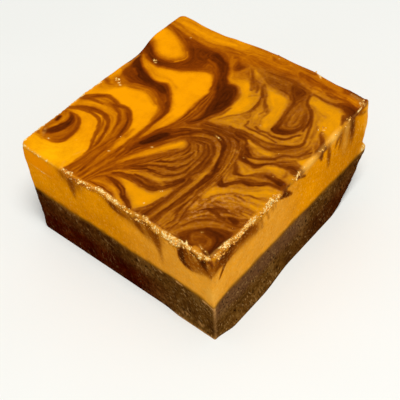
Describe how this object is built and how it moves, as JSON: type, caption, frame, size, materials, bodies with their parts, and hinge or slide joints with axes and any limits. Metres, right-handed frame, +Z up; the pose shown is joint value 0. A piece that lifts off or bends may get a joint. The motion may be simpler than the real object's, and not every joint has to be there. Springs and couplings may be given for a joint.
{
  "type": "fudge square",
  "caption": "Square of two-layer fudge: plain chocolate below, orange marbled with cocoa above, cut on three sides and set against the tin on the fourth.",
  "frame": {"origin": "centre of the box's underside, on the surface the square rests on", "axes": "+Z up; +Y towards the side that set against the tin; +X towards the right-hand knife cut"},
  "size_m": [0.0525, 0.0537, 0.028],
  "materials": {
    "orange_fudge": "satin",
    "chocolate_fudge": "matte"
  },
  "bodies": {
    "root": {"chocolate_layer": "chocolate_fudge", "orange_layer": "orange_fudge"}
  },
  "joints": []
}
